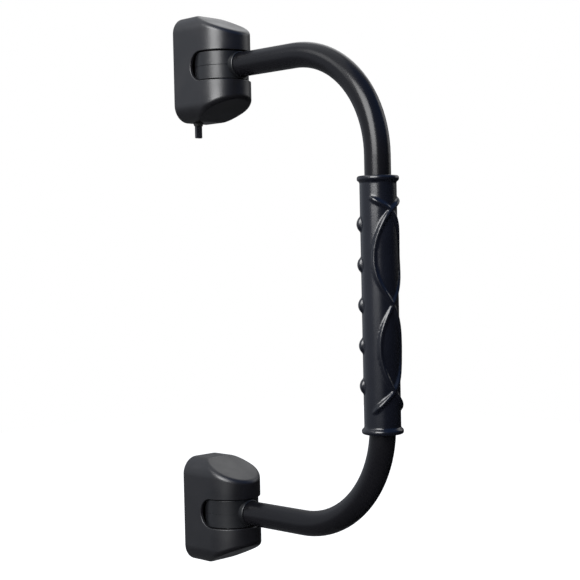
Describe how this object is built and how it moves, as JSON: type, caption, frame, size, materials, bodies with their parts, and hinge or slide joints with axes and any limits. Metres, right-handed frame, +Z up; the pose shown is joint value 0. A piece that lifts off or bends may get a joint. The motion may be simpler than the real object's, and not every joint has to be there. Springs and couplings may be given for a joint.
{
  "type": "swing-away wall handrail",
  "caption": "C-shaped tube handrail with a ribbed sleeve grip, hinged between two wall brackets so it swings flat to either side and locks with a push-up bolt.",
  "frame": {"origin": "on the wall plane, midway between the two brackets, which is the centre of both fixing patterns", "axes": "+Z up along the pivot axis, +Y into the wall, +X to the right seen from in front"},
  "size_m": [0.0628, 0.2831, 0.594],
  "materials": {
    "housing_plastic": "moulded satin black, light texture",
    "hub_plastic": "moulded satin black",
    "coated_tube": "black powder coat, satin",
    "grip_rubber": "moulded satin rubber",
    "seal_rubber": "matt black",
    "plated_steel": "zinc plated",
    "bright_steel": "ground",
    "screw_steel": "zinc plated",
    "spring_steel": "oil blackened",
    "bush_plastic": "natural acetal",
    "bolt_metal": "black coated steel"
  },
  "bodies": {
    "brackets": {"upper_housing": "housing_plastic", "upper_gasket": "seal_rubber", "upper_chassis": "plated_steel", "upper_wall_nuts": "plated_steel", "upper_cover_screws": "screw_steel", "upper_pivot_pin": "bright_steel", "upper_pin_clip": "spring_steel", "lower_housing": "housing_plastic", "lower_gasket": "seal_rubber", "lower_chassis": "plated_steel", "lower_wall_nuts": "plated_steel", "lower_cover_screws": "screw_steel", "lower_pivot_pin": "bright_steel", "lower_pin_clip": "spring_steel", "lock_grommet": "seal_rubber", "detent_spring": "spring_steel", "detent_screw": "screw_steel"},
    "handle": {"upper_hub_bushes": "bush_plastic", "upper_hub_top": "hub_plastic", "upper_hub_bottom": "hub_plastic", "upper_hub_screws": "screw_steel", "upper_tube_pin": "spring_steel", "lower_hub_bushes": "bush_plastic", "lower_hub_top": "hub_plastic", "lower_hub_bottom": "hub_plastic", "lower_hub_screws": "screw_steel", "lower_tube_pin": "spring_steel", "handle_tube": "coated_tube", "grip_sleeve": "grip_rubber"},
    "lock_bolt": {"lock_bolt": "bolt_metal"}
  },
  "joints": [
    {"name": "handle_swing", "type": "hinge", "parent": "brackets", "child": "handle", "pos_m": [0, -0.043, 0], "axis": [0, 0, 1], "range_deg": [-90, 90]},
    {"name": "lock_slide", "type": "slide", "parent": "brackets", "child": "lock_bolt", "axis": [0, 0, 1], "range_m": [0, 0.006]}
  ]
}
